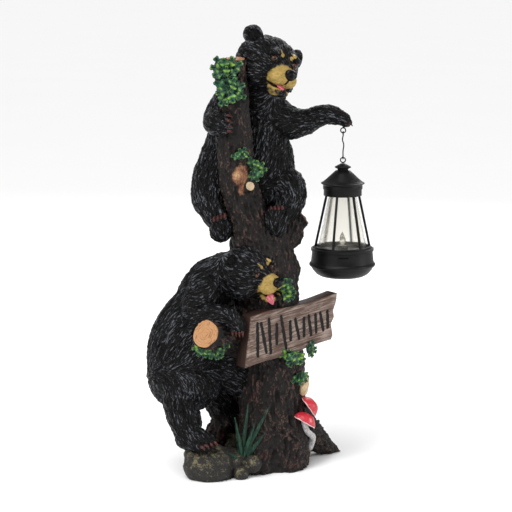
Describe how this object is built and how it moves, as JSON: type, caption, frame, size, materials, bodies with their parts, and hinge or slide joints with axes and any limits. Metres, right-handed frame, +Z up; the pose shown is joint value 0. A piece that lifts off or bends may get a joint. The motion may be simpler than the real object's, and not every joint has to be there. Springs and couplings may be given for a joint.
{
  "type": "garden statue",
  "caption": "Two black bear cubs on a tree stump with a sign board, leaves and toadstools, and a small lantern hung from the upper cub's paw.",
  "frame": {"origin": "on the ground under the trunk, at the middle of the mount underside", "axes": "+Z up; -Y is the way the sign board faces; +X to the right of someone who faces the board, roughly where the lantern hangs"},
  "size_m": [0.2585, 0.1313, 0.502],
  "materials": {
    "painted_resin": "cast resin, hand painted: near-black fur with grey highlights, brown bark, green leaves, grey-brown board, red toadstools",
    "black_metal": "black wire, satin",
    "black_paint": "black moulded plastic, satin",
    "clear_pane": "clear, slightly frosted by wear",
    "clear_bulb": "clear flame-shaped lamp"
  },
  "bodies": {
    "root": {"cubs_on_stump": "painted_resin", "paw_eye": "black_metal", "lantern_hook": "black_metal", "lantern_ring": "black_metal", "lantern_roof": "black_paint", "lantern_cage": "black_paint", "lantern_glass": "clear_pane", "lantern_base": "black_paint", "lamp_socket": "black_paint", "flame_bulb": "clear_bulb"}
  },
  "joints": []
}
